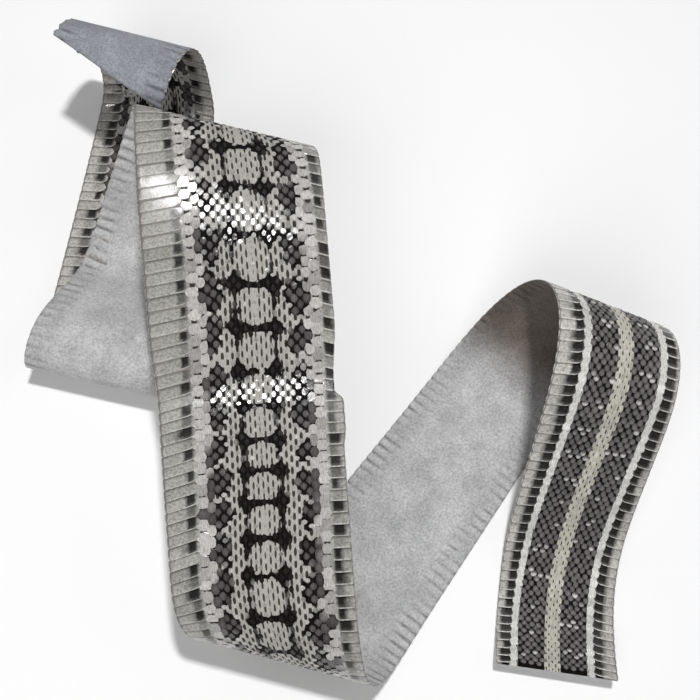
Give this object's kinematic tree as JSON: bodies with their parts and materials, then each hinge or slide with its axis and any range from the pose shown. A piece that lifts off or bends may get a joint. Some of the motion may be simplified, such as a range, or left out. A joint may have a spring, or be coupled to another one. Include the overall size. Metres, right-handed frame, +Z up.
{
  "type": "tanned snakeskin",
  "caption": "Whole tanned snake skin, slit along the belly, lying in loose zigzag folds that show both its scaled grain side and its bare flesh side; a hide for craft or display.",
  "frame": {"origin": "middle of the bounding box's footprint, on the table the skin lies on", "axes": "+Z up from the table, +X to the viewer's right along the longest side of the folded heap, +Y away from the viewer"},
  "size_m": [0.3292, 0.2844, 0.083],
  "materials": {
    "snake_leather": "tanned snake leather, semi-gloss scales on the grain side and bare pale suede on the flesh side"
  },
  "bodies": {
    "root": {"snakeskin": "snake_leather"}
  },
  "joints": []
}
